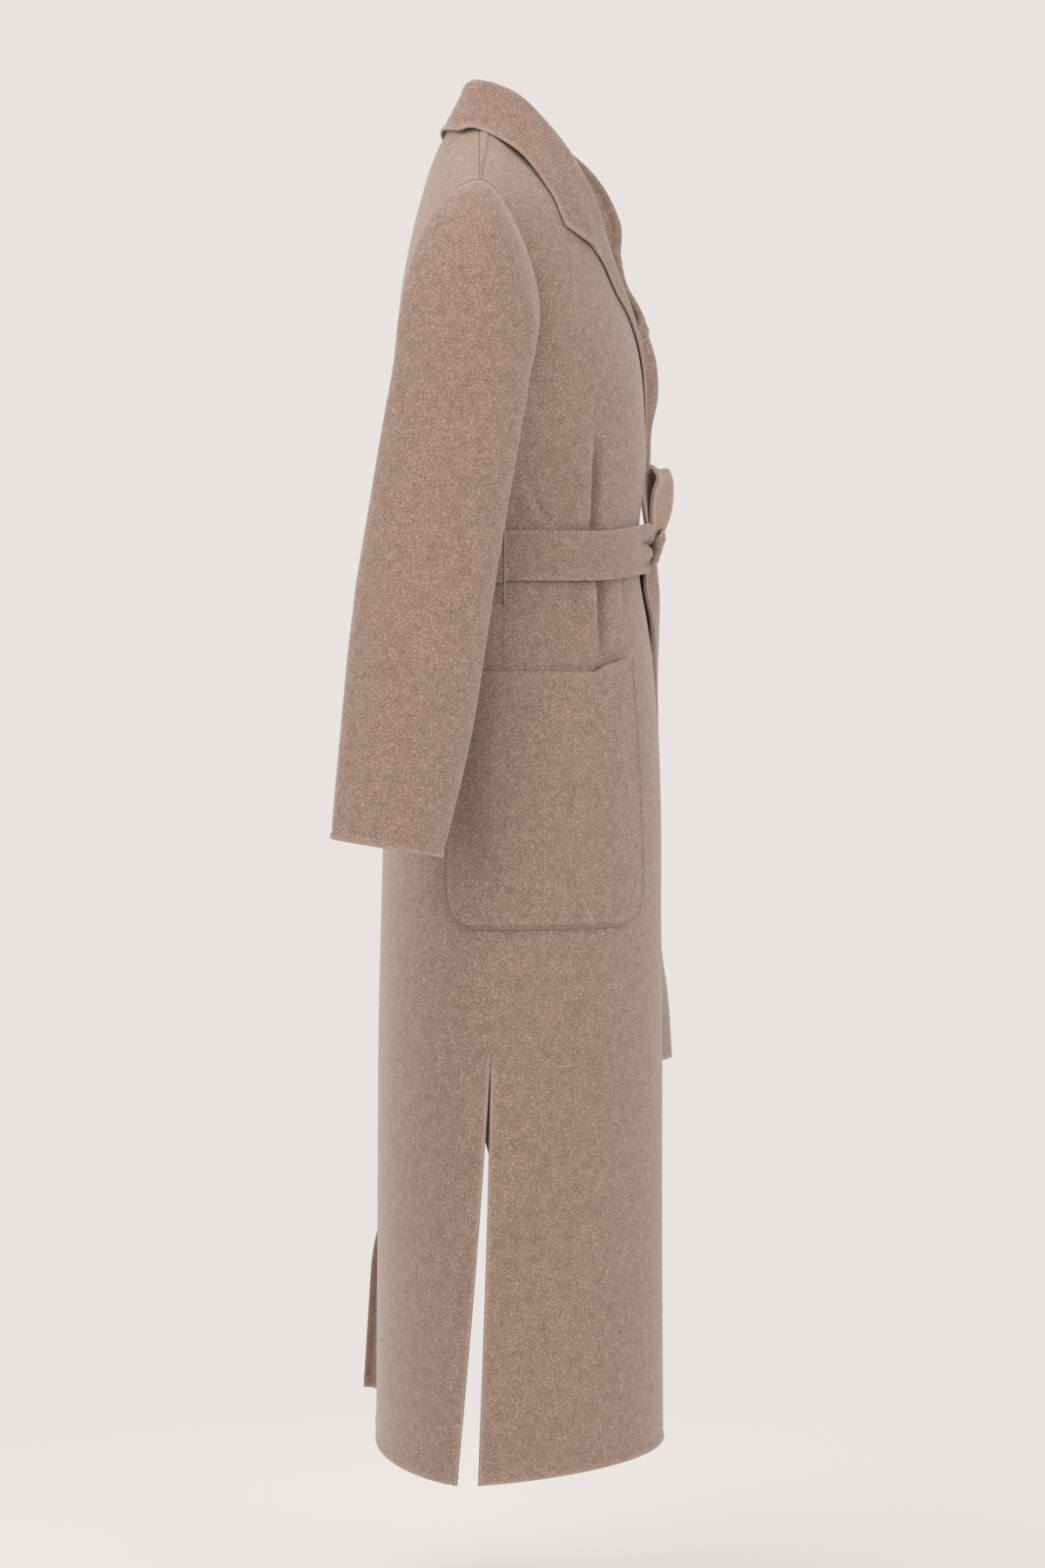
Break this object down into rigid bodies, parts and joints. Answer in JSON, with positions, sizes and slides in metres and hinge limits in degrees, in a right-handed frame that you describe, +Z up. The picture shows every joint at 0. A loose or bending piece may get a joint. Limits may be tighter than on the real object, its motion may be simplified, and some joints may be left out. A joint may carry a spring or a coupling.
{
  "type": "belted coat",
  "caption": "Long wrap coat of soft brown wool with a notched collar, patch pockets, side slits and a tie belt in a half bow, standing hollow as worn.",
  "frame": {"origin": "between the neck ends of the two shoulder seams, where the wearer's shoulders carry the coat", "axes": "+Z up, -Y to the coat's front, +X to the wearer's left"},
  "size_m": [0.66, 0.316, 1.296],
  "materials": {
    "wool": "soft napped melange wool",
    "thread": "twisted thread"
  },
  "bodies": {
    "root": {"back": "wool", "front_right": "wool", "front_left": "wool", "sleeve_right": "wool", "sleeve_left": "wool", "collar": "wool", "pocket_right": "wool", "pocket_left": "wool", "belt": "wool", "belt_knot": "wool", "belt_bow": "wool", "belt_end_long": "wool", "belt_end_short": "wool", "carrier_right": "thread", "carrier_left": "thread"}
  },
  "joints": []
}
